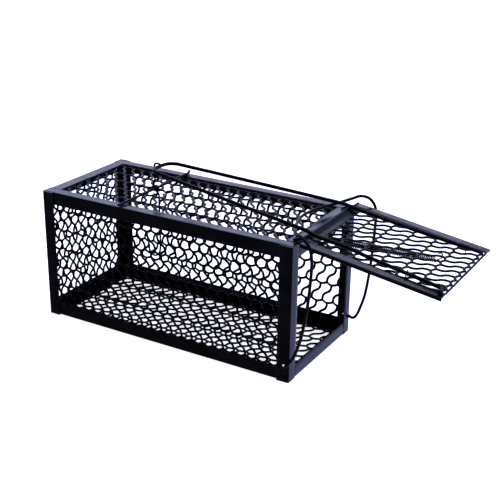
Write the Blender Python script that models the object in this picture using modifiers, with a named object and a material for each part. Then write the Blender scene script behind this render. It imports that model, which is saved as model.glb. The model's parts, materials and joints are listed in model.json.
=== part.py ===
"""A small live catch trap: a wire mesh cage in a frame of bent angle strip, with a sprung drop door.

Run with: blender --background --python part.py

Metres, +Z up. X runs along the cage, from the closed end to the raised door, and Y runs across it.
The origin is under the middle of the whole trap, on the surface that it stands on.
Places are given as x from the closed end, y from the middle plane and z from the ground, by at().
"""

import math

import bmesh
import bpy
from mathutils import Matrix, Vector

# Driving dimensions
CAGE_LENGTH = 0.250
CAGE_WIDTH = 0.114
CAGE_HEIGHT = 0.1185
STRIP_LEG = 0.0115
STRIP_GAUGE = 0.0010
GAP = 0.0003  # between neighbouring pieces

MESH_GAUGE = 0.0010
MESH_INSET = 0.0040  # how far the mesh stays inside the outer faces
MESH_CELL = 0.0200
MESH_STRAND = 0.0022

DOOR_LENGTH = 0.1185
DOOR_DROOP = math.radians(8.4)  # below level, when raised
HINGE_X = CAGE_LENGTH + 0.0035
HINGE_Z = CAGE_HEIGHT + 0.0035
HINGE_ROD = 0.0025
RAIL_WIDTH = 0.0100
RAIL_LIP = 0.0030
HINGE_STRIP_WIDTH = 0.0090

LEVER_WIRE = 0.0032
BOW_WIRE = 0.0026
TRIGGER_WIRE = 0.0018
PIVOT_WIRE = 0.0020
CLIP_WIRE = 0.0012
SPRING_WIRE = 0.0010

TRIGGER_X = 0.082
LEVER_END_X = 0.085
LEVER_END_Z = CAGE_HEIGHT + 0.022
TRIGGER_SIDE = 0.0015  # from the middle plane to the trigger's hook

HALF_WIDTH = CAGE_WIDTH / 2
HINGE_EAR_Y = HALF_WIDTH - RAIL_WIDTH - 0.0040
HINGE_EAR_GAUGE = 0.0014

BOW_HOLE_X = CAGE_LENGTH - 0.0045
BOW_HOLE_Z = 0.0145
BOW_SIDE_Y = HALF_WIDTH + 0.0019  # the bow's legs pass just outside the door
SPRING_DIAMETER = 0.0060
SPRING_X = CAGE_LENGTH - 0.0017
SPRING_Z = CAGE_HEIGHT - 0.0130
SPRING_Y = 0.0030
SPRING_RISE = math.radians(-1.4)
SPRING_YAW = math.radians(8.6)  # its far end is hooked to the mesh off the middle, towards the back

# Each clip holds the lever down on the door: name, distance from the hinge, place across
LEVER_CLIPS = (
    ("front_inner_lever_clip", 0.0330, -0.0365),
    ("front_outer_lever_clip", 0.0850, -0.0418),
    ("back_inner_lever_clip", 0.0600, 0.0369),
    ("back_outer_lever_clip", 0.1040, 0.0384),
)

DOOR_TIP_X = HINGE_X + DOOR_LENGTH * math.cos(DOOR_DROOP)
MIDDLE_X = (DOOR_TIP_X + STRIP_GAUGE / 2 * math.sin(DOOR_DROOP)) / 2


def at(x, y, z):
    """A place given from the closed end, the middle plane and the ground, in the part's own frame."""
    return Vector((x - MIDDLE_X, y, z))


def clear_scene():
    for obj in list(bpy.data.objects):
        bpy.data.objects.remove(obj, do_unlink=True)


def paint(name, colour, roughness, metallic):
    material = bpy.data.materials.new(name)
    material.use_nodes = True
    shader = material.node_tree.nodes["Principled BSDF"]
    shader.inputs["Base Color"].default_value = (*colour, 1)
    shader.inputs["Roughness"].default_value = roughness
    shader.inputs["Metallic"].default_value = metallic
    return material


def new_collection(name):
    collection = bpy.data.collections.new(name)
    bpy.context.scene.collection.children.link(collection)
    return collection


def add(name, data, material=None, parent=None, collection=None):
    obj = bpy.data.objects.new(name, data)
    (collection or TRAP).objects.link(obj)
    obj.parent = parent
    if material:
        data.materials.append(material)
    return obj


def pivot(name, place, tilt=0.0):
    empty = add(name, None)
    empty.location = place
    empty.rotation_euler = (0, tilt, 0)
    return empty


def smooth_path(points, steps=4):
    """Points along a Catmull-Rom curve through the given ones."""
    ends = [2 * points[0] - points[1], *points, 2 * points[-1] - points[-2]]
    path = []
    for before, start, end, after in zip(ends, ends[1:], ends[2:], ends[3:]):
        for step in range(steps):
            t = step / steps
            path.append(
                0.5
                * (
                    2 * start
                    + (end - before) * t
                    + (2 * before - 5 * start + 4 * end - after) * t**2
                    + (3 * start - 3 * end + after - before) * t**3
                )
            )
    return [*path, points[-1]]


def wire(name, points, diameter, material, parent=None):
    """A round wire along the points, closed at both ends."""
    curve = bpy.data.curves.new(name, "CURVE")
    curve.dimensions = "3D"
    curve.bevel_depth = diameter / 2
    curve.bevel_resolution = 2
    curve.use_fill_caps = True
    spline = curve.splines.new("POLY")
    spline.points.add(len(points) - 1)
    for point, place in zip(spline.points, points):
        point.co = (*place, 1)
    return add(name, curve, material, parent)


def outline(name, corners, thickness, material, parent=None):
    """A flat outline in XY, given a thickness along Z."""
    curve = bpy.data.curves.new(name, "CURVE")
    curve.dimensions = "2D"
    curve.fill_mode = "BOTH"
    curve.extrude = thickness / 2
    spline = curve.splines.new("POLY")
    spline.points.add(len(corners) - 1)
    for point, (x, y) in zip(spline.points, corners):
        point.co = (x, y, 0, 1)
    spline.use_cyclic_u = True
    return add(name, curve, material, parent)


def angle_section(leg_a, leg_b):
    g = STRIP_GAUGE
    return [(0, 0), (leg_a, 0), (leg_a, g), (g, g), (g, leg_b), (0, leg_b)]


def angle_strip(name, corner, leg_a, leg_b, length, parent=None):
    """An angle strip whose outer corner line has its middle at corner. leg_a and leg_b are vectors
    along its two legs, as long as the legs."""
    a, b = leg_a.normalized(), leg_b.normalized()
    section = angle_section(leg_a.length, leg_b.length)
    obj = outline(name, section, length, BLACK_PAINT, parent)
    turn = Matrix((a, b, a.cross(b))).transposed()
    obj.rotation_euler = turn.to_euler()
    obj.location = corner
    return obj


def as_mesh(obj):
    """The object made a mesh, with its loose caps welded, so that a Boolean can use it."""
    bpy.context.view_layer.update()
    graph = bpy.context.evaluated_depsgraph_get()
    mesh = bpy.data.meshes.new_from_object(obj.evaluated_get(graph))
    bm = bmesh.new()
    bm.from_mesh(mesh)
    bmesh.ops.remove_doubles(bm, verts=bm.verts, dist=1e-6)
    bm.to_mesh(mesh)
    bm.free()
    name, parent, matrix = obj.name, obj.parent, obj.matrix_world.copy()
    bpy.data.objects.remove(obj, do_unlink=True)
    solid = add(name, mesh, None, parent)
    solid.matrix_world = matrix
    return solid


def cut(obj, cutter):
    cutter.hide_render = True
    cutter.display_type = "WIRE"
    modifier = obj.modifiers.new("cut_" + cutter.name, "BOOLEAN")
    modifier.operation = "DIFFERENCE"
    modifier.object = cutter


def rod_cutter(name, place, diameter, length):
    """A round cutter along Y."""
    bpy.ops.mesh.primitive_cylinder_add(vertices=16, radius=diameter / 2, depth=length)
    cutter = bpy.context.object
    cutter.name = name
    cutter.location = place
    cutter.rotation_euler = (math.pi / 2, 0, 0)
    move_to(cutter, CUTTERS)
    return cutter


def box_cutter(name, place, size):
    bpy.ops.mesh.primitive_cube_add(size=1)
    cutter = bpy.context.object
    cutter.name = name
    cutter.location = place
    cutter.scale = size
    move_to(cutter, CUTTERS)
    return cutter


def move_to(obj, collection):
    for old in list(obj.users_collection):
        old.objects.unlink(obj)
    collection.objects.link(obj)


def mesh_panel(name, length, width, parent=None):
    """An open wire mesh sheet in XY: a grid whose lines run in waves, each cell opened."""
    columns = round(length / MESH_CELL)
    rows = round(width / MESH_CELL)
    bm = bmesh.new()
    bmesh.ops.create_grid(bm, x_segments=columns, y_segments=rows, size=0.5)
    bmesh.ops.scale(bm, vec=(length, width, 1), verts=bm.verts)
    for vert in bm.verts:
        row = round((vert.co.y / width + 0.5) * rows)
        inside = abs(vert.co.x) < length / 2 - 1e-6 and 0 < row < rows
        if inside:
            vert.co.x += MESH_CELL * (0.22 if row % 2 else -0.22)
    cells = bm.faces[:]
    bmesh.ops.inset_individual(bm, faces=cells, thickness=MESH_STRAND / 2)
    bmesh.ops.delete(bm, geom=cells, context="FACES")
    data = bpy.data.meshes.new(name)
    bm.to_mesh(data)
    bm.free()
    panel = add(name, data, BLACK_WIRE, parent)
    wall = panel.modifiers.new("gauge", "SOLIDIFY")
    wall.thickness = MESH_GAUGE
    wall.offset = 0
    return panel


def frame_strips():
    """The long strips run inside the corner posts, and the cross strips between the posts' legs."""
    along, up = CAGE_LENGTH, CAGE_HEIGHT
    setback = STRIP_GAUGE + GAP
    x_leg, z_leg = Vector((STRIP_LEG, 0, 0)), Vector((0, 0, STRIP_LEG))
    y_leg = Vector((0, STRIP_LEG - setback, 0))
    for side, label in ((-1, "front"), (1, "back")):
        y = side * (HALF_WIDTH - setback)
        long = along - 2 * setback
        middle = at(along / 2, y, 0)
        angle_strip(f"bottom_{label}_strip", middle, -side * y_leg, z_leg, long)
        middle = at(along / 2, y, up)
        angle_strip(f"top_{label}_strip", middle, -side * y_leg, -z_leg, long)
    between = CAGE_WIDTH - 2 * (STRIP_LEG + GAP)
    for x, inward, label in ((0, 1, "end"), (along, -1, "door")):
        low, high = at(x, 0, 0), at(x, 0, up)
        angle_strip(f"bottom_{label}_strip", low, inward * x_leg, z_leg, between)
        angle_strip(f"top_{label}_strip", high, inward * x_leg, -z_leg, between)


def corner_posts():
    """The posts stand outside the long strips, the full height of the cage."""
    for side, label in ((-1, "front"), (1, "back")):
        y = side * HALF_WIDTH
        for x, inward, end in ((0, 1, "end"), (CAGE_LENGTH, -1, "door")):
            corner = at(x, y, CAGE_HEIGHT / 2)
            x_leg = Vector((inward * STRIP_LEG, 0, 0))
            y_leg = Vector((0, -side * STRIP_LEG, 0))
            post = angle_strip(f"{label}_{end}_post", corner, x_leg, y_leg, CAGE_HEIGHT)
            if end == "door":
                post = as_mesh(post)
                hole = at(BOW_HOLE_X, y, BOW_HOLE_Z)
                cutter = rod_cutter(f"{label}_bow_hole", hole, BOW_WIRE + 0.0007, 0.006)
                cut(post, cutter)


def cage_mesh():
    long = CAGE_LENGTH - 2 * MESH_INSET
    wide = CAGE_WIDTH - 2 * MESH_INSET
    tall = CAGE_HEIGHT - 2 * MESH_INSET
    half_gauge = MESH_GAUGE / 2
    under_strip = STRIP_GAUGE + GAP + half_gauge
    under_post = under_strip + STRIP_GAUGE + GAP
    middle_x, middle_z = CAGE_LENGTH / 2, CAGE_HEIGHT / 2
    for side, label in ((-1, "front"), (1, "back")):
        panel = mesh_panel(f"{label}_mesh", long, tall)
        panel.location = at(middle_x, side * (HALF_WIDTH - under_post), middle_z)
        panel.rotation_euler = (math.pi / 2, 0, 0)
    mesh_panel("bottom_mesh", long, wide).location = at(middle_x, 0, under_strip)
    top = mesh_panel("top_mesh", long, wide)
    top.location = at(middle_x, 0, CAGE_HEIGHT - under_strip)
    slot = at(TRIGGER_X + 0.001, 0, CAGE_HEIGHT - under_strip)
    cut(top, box_cutter("trigger_slot", slot, (0.016, 0.010, 0.006)))
    end = mesh_panel("end_mesh", tall, wide)
    end.location = at(under_strip, 0, middle_z)
    end.rotation_euler = (0, math.pi / 2, 0)


def trigger_pivot_wire():
    """Laid across the two top strips, with both ends bent up."""
    z = CAGE_HEIGHT + GAP + PIVOT_WIRE / 2
    side = HALF_WIDTH - 0.004
    half = [
        at(TRIGGER_X, side, z + 0.006),
        at(TRIGGER_X, side - 0.0006, z + 0.002),
        at(TRIGGER_X, side - 0.0025, z),
    ]
    mirrored = [Vector((p.x, -p.y, p.z)) for p in reversed(half)]
    wire("trigger_pivot_wire", half + mirrored, PIVOT_WIRE, BLACK_WIRE)


def trigger_wire():
    """From the hook over the lever's closed end, once round the pivot wire, to the bait hook."""
    hub = pivot("trigger_pivot", at(TRIGGER_X, 0, CAGE_HEIGHT + GAP + PIVOT_WIRE / 2))
    turn_radius = PIVOT_WIRE / 2 + GAP + TRIGGER_WIRE / 2
    lever_top = LEVER_END_Z + (LEVER_WIRE + TRIGGER_WIRE) / 2 + GAP - hub.location.z
    reach = LEVER_END_X - TRIGGER_X
    hook = [
        Vector((reach + 0.0032, -TRIGGER_SIDE, lever_top - 0.0002)),
        Vector((reach, -TRIGGER_SIDE, lever_top + 0.0002)),
        Vector((reach - 0.0023, -TRIGGER_SIDE, lever_top - 0.0005)),
        Vector((reach - 0.0032, -TRIGGER_SIDE, lever_top - 0.0035)),
        Vector((0.0002, -TRIGGER_SIDE, 0.0100)),
        Vector((-turn_radius, -TRIGGER_SIDE, 0.0030)),
    ]
    loop = []
    steps = 12
    for step in range(steps + 3):
        angle = math.pi + 2 * math.pi * step / steps
        y = TRIGGER_SIDE * (2 * step / steps - 1)
        loop.append(Vector((turn_radius * math.cos(angle), y, turn_radius * math.sin(angle))))
    bait = [
        Vector((0.0015, 0.0022, -0.0070)),
        Vector((0.0020, 0.0018, -0.0300)),
        Vector((0.0030, 0.0005, -0.0560)),
        Vector((0.0010, 0.0000, -0.0630)),
        Vector((-0.0040, 0.0000, -0.0650)),
        Vector((-0.0085, 0.0000, -0.0610)),
        Vector((-0.0090, 0.0000, -0.0550)),
    ]
    path = smooth_path(hook, 3)[:-1] + loop + smooth_path(bait, 3)
    wire("trigger_wire", path, TRIGGER_WIRE, BLACK_WIRE, hub)


def hinge_ears():
    """Two upright plates on the top door strip, each with a hole for the hinge rod."""
    foot_z = CAGE_HEIGHT + GAP
    for side, label in ((-1, "front"), (1, "back")):
        reach, low = 0.0027, foot_z - HINGE_Z
        corners = [(-0.0105, -low), (-0.0037, -low)]
        for step in range(13):
            angle = math.radians(130 - 265 * step / 12)
            corners.append((reach * math.cos(angle), reach * math.sin(angle)))
        corners.append((-0.0105, -low - 0.0012))
        ear = outline(f"{label}_hinge_ear", corners, HINGE_EAR_GAUGE, BLACK_PAINT)
        ear.rotation_euler = (-math.pi / 2, 0, 0)
        place = at(HINGE_X, side * HINGE_EAR_Y, HINGE_Z)
        ear.location = place
        cutter = rod_cutter(f"{label}_ear_hole", place, HINGE_ROD + 0.0003, 0.006)
        cut(as_mesh(ear), cutter)


def door():
    """Modelled level, along its own X, and turned down to its raised place by its pivot."""
    hinge = pivot("door_pivot", at(HINGE_X, 0, HINGE_Z), DOOR_DROOP)
    rod = [Vector((0, side * (HALF_WIDTH - 0.0005), 0)) for side in (-1, 1)]
    wire("hinge_rod", rod, HINGE_ROD, BLACK_WIRE, hinge)

    start = HINGE_ROD / 2 + GAP
    rail_length = DOOR_LENGTH - start
    level = STRIP_GAUGE / 2
    for side, label in ((-1, "front"), (1, "back")):
        corner = Vector((start + rail_length / 2, side * HALF_WIDTH, level))
        across = Vector((0, -side * RAIL_WIDTH, 0))
        lip = Vector((0, 0, -RAIL_LIP))
        angle_strip(f"door_{label}_rail", corner, across, lip, rail_length, hinge)

    between = CAGE_WIDTH - 2 * (RAIL_WIDTH + GAP)
    strip_start = 0.0033
    corner = Vector((strip_start, 0, level))
    flange = Vector((HINGE_STRIP_WIDTH, 0, 0))
    angle_strip("door_hinge_strip", corner, flange, Vector((0, 0, -0.0018)), between, hinge)
    corner = Vector((DOOR_LENGTH, 0, level))
    narrow = Vector((-0.0022, 0, 0))
    angle_strip("door_free_strip", corner, narrow, Vector((0, 0, -0.0018)), between, hinge)

    mesh_start = strip_start + STRIP_GAUGE + GAP
    mesh_length = DOOR_LENGTH - STRIP_GAUGE - GAP - mesh_start
    mesh_width = CAGE_WIDTH - 2 * (STRIP_GAUGE + GAP) - 0.002
    panel = mesh_panel("door_mesh", mesh_length, mesh_width, hinge)
    panel.location = (mesh_start + mesh_length / 2, 0, -level - GAP - MESH_GAUGE / 2)

    door_lever(hinge)
    return hinge


def door_lever(hinge):
    """One wire: up one side of the door, over the hinge to a narrow closed end, and back down the other
    side."""
    seat = STRIP_GAUGE / 2 + GAP + LEVER_WIRE / 2
    to_world = hinge_matrix(hinge)
    behind = to_world.inverted()

    def over_cage(x, y, z):
        return behind @ at(x, y, z)

    front = [
        Vector((0.1148, -0.0520, seat)),
        Vector((0.1152, -0.0485, seat)),
        Vector((0.1138, -0.0455, seat)),
        Vector((0.1100, -0.0439, seat)),
        Vector((0.0560, -0.0395, seat)),
        Vector((0.0330, -0.0365, seat)),
        Vector((0.0085, -0.0375, seat + 0.0003)),
        over_cage(HINGE_X - 0.0035, -0.0385, HINGE_Z + 0.0055),
        over_cage(0.2380, -0.0390, HINGE_Z + 0.0073),
        over_cage(0.1660, -0.0275, CAGE_HEIGHT + 0.0162),
    ]
    closed_end = [
        over_cage(0.1000, -0.0168, LEVER_END_Z - 0.0007),
        over_cage(0.0925, -0.0148, LEVER_END_Z - 0.0001),
        over_cage(0.0870, -0.0110, LEVER_END_Z),
        over_cage(LEVER_END_X, -0.0050, LEVER_END_Z),
        over_cage(LEVER_END_X, 0.0050, LEVER_END_Z),
        over_cage(0.0870, 0.0110, LEVER_END_Z),
        over_cage(0.0925, 0.0145, LEVER_END_Z - 0.0001),
        over_cage(0.1000, 0.0160, LEVER_END_Z - 0.0007),
    ]
    back = [
        over_cage(0.1660, 0.0230, CAGE_HEIGHT + 0.0162),
        over_cage(0.2360, 0.0305, HINGE_Z + 0.0070),
        over_cage(HINGE_X - 0.0035, 0.0342, HINGE_Z + 0.0048),
        Vector((0.0085, 0.0366, seat + 0.0003)),
        Vector((0.0330, 0.0367, seat)),
        Vector((0.0600, 0.0369, seat)),
        Vector((0.0900, 0.0378, seat)),
        Vector((0.1155, 0.0391, seat)),
    ]
    wire("arming_lever", smooth_path(front + closed_end + back, 3), LEVER_WIRE, BLACK_WIRE, hinge)

    radius = LEVER_WIRE / 2 + CLIP_WIRE / 2 + GAP
    foot = STRIP_GAUGE / 2 + GAP + CLIP_WIRE / 2
    for label, x, y in LEVER_CLIPS:
        arch = [Vector((x, y - radius, foot))]
        for step in range(9):
            angle = math.pi * (1 - step / 8)
            arch.append(Vector((x, y + radius * math.cos(angle), seat + radius * math.sin(angle))))
        arch.append(Vector((x, y + radius, foot)))
        wire(label, arch, CLIP_WIRE, BLACK_WIRE, hinge)


def hinge_matrix(hinge):
    bpy.context.view_layer.update()
    return hinge.matrix_world.copy()


def closing_spring():
    """A coil spring from the lower edge of the top door strip to the outer part of the door's mesh,
    shown as a solid of its outer shape with a thin hook at each end."""
    hub = pivot("spring_pivot", at(SPRING_X, SPRING_Y, SPRING_Z))
    hub.rotation_euler = (0, -SPRING_RISE, SPRING_YAW)
    thin, fat = SPRING_WIRE / 2, SPRING_DIAMETER / 2
    profile = [
        (0.0000, 0),
        (0.0000, thin),
        (0.0035, thin),
        (0.0055, fat),
        (0.0910, fat),
        (0.0930, thin),
        (0.0970, thin),
        (0.0970, 0),
    ]
    bm = bmesh.new()
    verts = [bm.verts.new((x, 0, r)) for x, r in profile]
    for start, end in zip(verts, verts[1:]):
        bm.edges.new((start, end))
    data = bpy.data.meshes.new("closing_spring")
    bm.to_mesh(data)
    bm.free()
    spring = add("closing_spring", data, BLACK_WIRE, hub)
    turned = spring.modifiers.new("turned", "SCREW")
    turned.axis = "X"
    turned.steps = turned.render_steps = 14
    turned.use_merge_vertices = True
    turned.merge_threshold = 1e-5
    turned.use_normal_calculate = True

    hanger = [
        at(CAGE_LENGTH + 0.0009, SPRING_Y, CAGE_HEIGHT - 0.0040),
        at(CAGE_LENGTH + 0.0009, SPRING_Y, CAGE_HEIGHT - 0.0105),
        at(CAGE_LENGTH + 0.0005, SPRING_Y, SPRING_Z + 0.0011),
    ]
    wire("spring_anchor", hanger, SPRING_WIRE, BLACK_WIRE)


def spring_bow():
    """One springy wire. From a hole in the side of one door post it rises outside the door, crosses over
    behind the hinge, and goes down to the other post."""
    hub = pivot("bow_pivot", at(BOW_HOLE_X, 0, BOW_HOLE_Z))
    foot = [
        (BOW_HOLE_X, HALF_WIDTH - 0.0022, BOW_HOLE_Z),
        (BOW_HOLE_X, HALF_WIDTH + 0.0006, BOW_HOLE_Z),
    ]
    front_leg = [
        (0.2465, BOW_SIDE_Y, 0.0152),
        (0.2490, BOW_SIDE_Y, 0.0185),
        (0.2525, BOW_SIDE_Y, 0.0240),
        (0.2560, BOW_SIDE_Y, 0.0320),
        (0.2597, BOW_SIDE_Y, 0.0445),
        (0.2626, BOW_SIDE_Y, 0.0610),
        (0.2650, BOW_SIDE_Y + 0.0002, 0.0790),
    ]
    back_leg = [
        (0.2465, BOW_SIDE_Y, 0.0138),
        (0.2490, BOW_SIDE_Y, 0.0122),
        (0.2522, BOW_SIDE_Y, 0.0124),
        (0.2550, BOW_SIDE_Y, 0.0160),
        (0.2575, BOW_SIDE_Y, 0.0225),
        (0.2616, BOW_SIDE_Y, 0.0370),
        (0.2645, BOW_SIDE_Y, 0.0585),
        (0.2660, BOW_SIDE_Y + 0.0003, 0.0800),
    ]
    top = [
        (0.2669, 0.0597, 0.1030),
        (0.2668, 0.0600, 0.1140),
        (0.2648, 0.0597, 0.1220),
        (0.2598, 0.0585, 0.1272),
        (0.2535, 0.0553, 0.1286),
        (0.2480, 0.0500, 0.1268),
        (0.2430, 0.0420, 0.1256),
        (0.2370, 0.0300, 0.1246),
        (0.2312, 0.0150, 0.1243),
    ]
    front = [(x, -y, z) for x, y, z in foot + front_leg + top]
    back = [*reversed(foot + back_leg + top)]
    points = [at(*place) - hub.location for place in [*front, (0.2290, 0, 0.1243), *back]]
    wire("spring_bow", smooth_path(points, 2), BOW_WIRE, BLACK_WIRE, hub)


clear_scene()
TRAP = new_collection("live_catch_trap")
CUTTERS = new_collection("cutters")
CUTTERS.hide_render = True
BLACK_PAINT = paint("black_paint", (0.008, 0.009, 0.013), 0.28, 0.0)
BLACK_WIRE = paint("black_wire", (0.006, 0.006, 0.008), 0.35, 0.0)

frame_strips()
corner_posts()
cage_mesh()
trigger_pivot_wire()
trigger_wire()
hinge_ears()
door()
closing_spring()
spring_bow()
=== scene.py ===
# Live catch trap: black painted strip frame, wave mesh walls, sprung drop door and bait hook trigger.
# Everything is in metres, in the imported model's own frame: +X towards the raised door, +Z up.

import json
import math

import bmesh
import bpy
from mathutils import Matrix, Vector, noise


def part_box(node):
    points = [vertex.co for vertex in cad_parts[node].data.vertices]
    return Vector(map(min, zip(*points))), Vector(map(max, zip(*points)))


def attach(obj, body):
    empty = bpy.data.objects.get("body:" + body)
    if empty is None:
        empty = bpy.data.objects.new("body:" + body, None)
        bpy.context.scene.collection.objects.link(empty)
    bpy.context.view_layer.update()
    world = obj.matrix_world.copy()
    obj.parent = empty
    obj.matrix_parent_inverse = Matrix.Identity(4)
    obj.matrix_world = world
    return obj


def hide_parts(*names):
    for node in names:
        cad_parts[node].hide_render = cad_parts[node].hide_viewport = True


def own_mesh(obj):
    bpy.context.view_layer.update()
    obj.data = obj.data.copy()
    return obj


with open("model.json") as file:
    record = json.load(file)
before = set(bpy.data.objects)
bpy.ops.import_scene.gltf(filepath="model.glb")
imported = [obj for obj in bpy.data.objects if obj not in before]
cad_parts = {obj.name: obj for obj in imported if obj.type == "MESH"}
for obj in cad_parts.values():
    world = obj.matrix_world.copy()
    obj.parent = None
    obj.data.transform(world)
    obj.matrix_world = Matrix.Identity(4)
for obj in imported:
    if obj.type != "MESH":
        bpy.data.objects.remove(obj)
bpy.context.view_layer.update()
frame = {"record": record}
joints = {joint["name"]: joint for joint in frame["record"]["behaviour"]["joints"]}

mm = 0.001
# the long strips stop 1.3 mm inside the posts' outer faces, and these two count from the strips
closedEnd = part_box("bottom_front_strip")[0].x
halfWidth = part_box("bottom_back_strip")[1].y
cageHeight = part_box("top_front_strip")[1].z
hingePlace = Vector(joints["door_hinge"]["pos_m"])
triggerPlace = Vector(joints["trigger_swing"]["pos_m"])
springPlace = Vector(joints["spring_swing"]["pos_m"])
bowPlace = Vector(joints["bow_swing"]["pos_m"])


def inCage(x, y, z):
    # a place in millimetres from the long strips' closed end, the middle plane and the ground
    return Vector((closedEnd + x * mm, y * mm, z * mm))


# helpers for node trees

class Value:
    # wraps a number socket, so that expressions add Math nodes
    def __init__(self, maker, socket):
        self.maker, self.socket = maker, socket

    def __add__(self, other):
        return self.maker.maths("ADD", self, other)

    def __sub__(self, other):
        return self.maker.maths("SUBTRACT", self, other)

    def __rsub__(self, other):
        return self.maker.maths("SUBTRACT", other, self)

    def __mul__(self, other):
        return self.maker.maths("MULTIPLY", self, other)

    def __truediv__(self, other):
        return self.maker.maths("DIVIDE", self, other)

    def __pow__(self, other):
        return self.maker.maths("POWER", self, other)

    __radd__ = __add__
    __rmul__ = __mul__


class Maker:
    # adds nodes to one tree
    def __init__(self, tree):
        self.tree = tree

    def add(self, kind, settings=None, inputs=None):
        node = self.tree.nodes.new(kind)
        for key, setting in (settings or {}).items():
            setattr(node, key, setting)
        for key, given in (inputs or {}).items():
            for source in given if isinstance(given, list) else [given]:
                source = getattr(source, "socket", source)
                if isinstance(source, bpy.types.NodeSocket):
                    self.tree.links.new(source, node.inputs[key])
                else:
                    node.inputs[key].default_value = source
        return node

    def value(self, kind, output=0, settings=None, inputs=None):
        return Value(self, self.add(kind, settings, inputs).outputs[output])

    def maths(self, operation, *terms):
        return self.value("ShaderNodeMath", 0, {"operation": operation}, dict(enumerate(terms)))

    def clamped(self, low, high, term):
        return self.value("ShaderNodeMapRange", 0, {"interpolation_type": "SMOOTHSTEP"},
                          {"Value": term, "From Min": low, "From Max": high})

    def mixed(self, factor, first, second):
        # colours: sockets 6 and 7 are the Mix node's colour ones
        mix = self.add("ShaderNodeMix", {"data_type": "RGBA"}, {0: factor, 6: first, 7: second})
        return mix.outputs[2]

    def noise(self, spot, scale, detail=2.0, rough=0.5):
        return self.value("ShaderNodeTexNoise", "Fac", None,
                          {"Vector": spot, "Scale": scale, "Detail": detail, "Roughness": rough})


# finishes

def newMaterial(name):
    material = bpy.data.materials.new(name)
    material.use_nodes = True
    maker = Maker(material.node_tree)
    return material, maker, material.node_tree.nodes["Principled BSDF"]


def join(maker, source, target):
    maker.tree.links.new(getattr(source, "socket", source), target)


def dippedPaint(name, look):
    # thin glossy black paint over steel, with thick and thin patches, drips and a few dull marks
    material, maker, shader = newMaterial(name)
    spot = maker.add("ShaderNodeTexCoord").outputs["Object"]
    patches = maker.noise(spot, look["patchScale"], 3.0, 0.55)
    peel = maker.noise(spot, look["peelScale"], 2.0)
    grit = maker.noise(spot, look["gritScale"], 3.0, 0.7)
    streaks = maker.noise(
        maker.add("ShaderNodeMapping", None, {"Vector": spot, "Scale": look["streakStretch"]}).outputs[0],
        look["streakScale"], 3.0, 0.6)
    thin = maker.clamped(0.42, 0.68, patches * 0.6 + streaks * 0.4)
    dust = maker.clamped(0.60, 0.78, grit)
    wear = maker.value("ShaderNodeAttribute", "Fac", {"attribute_name": "edgeWear"})
    chips = maker.clamped(0.56, 0.66, grit * 0.5 + patches * 0.5) * wear
    paint = maker.mixed(thin, look["deep"], look["thin"])
    dusty = maker.mixed(dust * look["dust"], paint, look["dustColour"])
    colour = maker.mixed(chips * look["chips"], dusty, look["metal"])
    join(maker, colour, shader.inputs["Base Color"])
    rough = look["gloss"] + thin * look["patchDull"] + dust * 0.10 + chips * 0.15
    join(maker, rough, shader.inputs["Roughness"])
    shader.inputs["IOR"].default_value = look["ior"]
    shader.inputs["Specular IOR Level"].default_value = look["specular"]
    height = patches * look["patchHeight"] + peel * look["peelHeight"] + grit * look["gritHeight"]
    bump = maker.add("ShaderNodeBump", None, {"Strength": look["bump"], "Distance": 0.001, "Height": height})
    join(maker, bump.outputs[0], shader.inputs["Normal"])
    return material


stripLook = {
    "deep": (0.0010, 0.0011, 0.0018, 1), "thin": (0.0020, 0.0022, 0.0040, 1),
    "metal": (0.16, 0.165, 0.18, 1), "dustColour": (0.030, 0.032, 0.040, 1),
    "patchScale": 42.0, "peelScale": 420.0, "gritScale": 1500.0,
    "streakStretch": (0.35, 1.0, 1.0), "streakScale": 120.0,
    "gloss": 0.17, "patchDull": 0.18, "dust": 0.10, "chips": 0.35,
    "ior": 1.30, "specular": 0.16,
    "patchHeight": 0.75, "peelHeight": 0.12, "gritHeight": 0.02, "bump": 0.75,
}
wireLook = dict(stripLook, gloss=0.26, patchDull=0.12, specular=0.07, bump=0.35, patchScale=90.0,
                streakStretch=(1.0, 1.0, 1.0), dust=0.10, chips=0.0,
                deep=(0.0008, 0.0009, 0.0013, 1), thin=(0.0014, 0.0015, 0.0022, 1))
springLook = dict(wireLook, gloss=0.22, specular=0.11, bump=0.20, thin=(0.0020, 0.0021, 0.0028, 1))

stripPaint = dippedPaint("gloss_black_strip_paint", stripLook)
# painted shade: a copy of the strip paint with a lower specular level and a little more roughness, so the
# door's free and hinge strips look darker, as if in shade
shadedPaint = dippedPaint("dull_black_strip_paint", dict(stripLook, specular=0.06, gloss=0.22))
wirePaint = dippedPaint("gloss_black_wire_paint", wireLook)
springCoat = dippedPaint("black_spring_coat", springLook)
print("finishes done")


# helpers for meshes

def place(name, mesh, material, body, *replaced):
    # links a finished mesh, and says what it rides on and stands for
    obj = bpy.data.objects.new(name, mesh)
    bpy.context.scene.collection.objects.link(obj)
    mesh.materials.clear()
    mesh.materials.append(material)
    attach(obj, body)
    if replaced:
        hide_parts(*replaced)
    return obj


def meshFrom(bm, name, sharpAngle=40.0):
    bmesh.ops.recalc_face_normals(bm, faces=bm.faces)
    mesh = bpy.data.meshes.new(name)
    bm.to_mesh(mesh)
    bm.free()
    for polygon in mesh.polygons:
        polygon.use_smooth = True
    mesh.set_sharp_from_angle(angle=math.radians(sharpAngle))
    return mesh


def smoothPath(points, steps):
    # Catmull-Rom through the given points
    ends = [2 * points[0] - points[1], *points, 2 * points[-1] - points[-2]]
    path = []
    for before, start, end, after in zip(ends, ends[1:], ends[2:], ends[3:]):
        for step in range(steps):
            t = step / steps
            path.append(0.5 * (2 * start + (end - before) * t
                               + (2 * before - 5 * start + 4 * end - after) * t**2
                               + (3 * start - 3 * end + after - before) * t**3))
    return [*path, points[-1]]


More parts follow.
